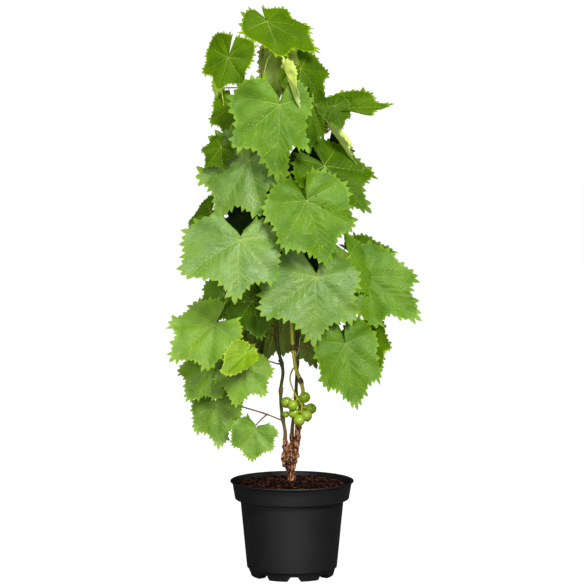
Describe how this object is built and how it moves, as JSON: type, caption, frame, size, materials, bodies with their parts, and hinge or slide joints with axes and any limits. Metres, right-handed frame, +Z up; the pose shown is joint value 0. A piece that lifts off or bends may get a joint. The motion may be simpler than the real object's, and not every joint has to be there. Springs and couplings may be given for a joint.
{
  "type": "potted grapevine",
  "caption": "Young grapevine in a round plastic nursery pot: a short gnarled trunk, slender climbing canes, lobed toothed leaves on all sides and a small cluster of unripe green grapes.",
  "frame": {"origin": "centre of the pot's flat underside, on the surface that the pot stands on", "axes": "+Z up through the plant, +X to the right of the side with the grapes, -Y towards a viewer of that side"},
  "size_m": [0.3884, 0.2617, 0.8726],
  "materials": {
    "pot_plastic": "black moulded plastic with a soft sheen",
    "soil": "damp, dark, crumbly potting soil",
    "bark": "rough brown flaking bark",
    "cane": "smooth green shoot turning tan at its nodes",
    "leaf": "soft satin green leaf with paler veins and a pale matte underside",
    "grape": "firm unripe green berry with a soft gloss"
  },
  "bodies": {
    "root": {"pot": "pot_plastic", "soil": "soil", "trunk": "bark", "cane_left": "cane", "cane_right": "cane", "cane_back": "cane", "leaves_crest": "leaf", "leaves_peak": "leaf", "leaves_upper_left": "leaf", "leaves_upper_front": "leaf", "leaves_upper_right": "leaf", "leaves_middle_left": "leaf", "leaves_middle_right": "leaf", "leaves_middle_front": "leaf", "leaves_waist_left": "leaf", "leaves_waist_front": "leaf", "leaves_waist_right": "leaf", "leaves_low_left": "leaf", "leaves_low_front": "leaf", "leaves_foot_left": "leaf", "leaves_low_right": "leaf", "leaves_inner_upper": "leaf", "leaves_inner_middle": "leaf", "leaves_right_top": "leaf", "leaves_right_upper": "leaf", "leaves_right_middle": "leaf", "leaves_right_low": "leaf", "leaves_left_top": "leaf", "leaves_left_middle": "leaf", "leaves_left_waist": "leaf", "leaves_left_low": "leaf", "leaves_back_top": "leaf", "leaves_back_waist": "leaf", "grapes": "grape"}
  },
  "joints": []
}
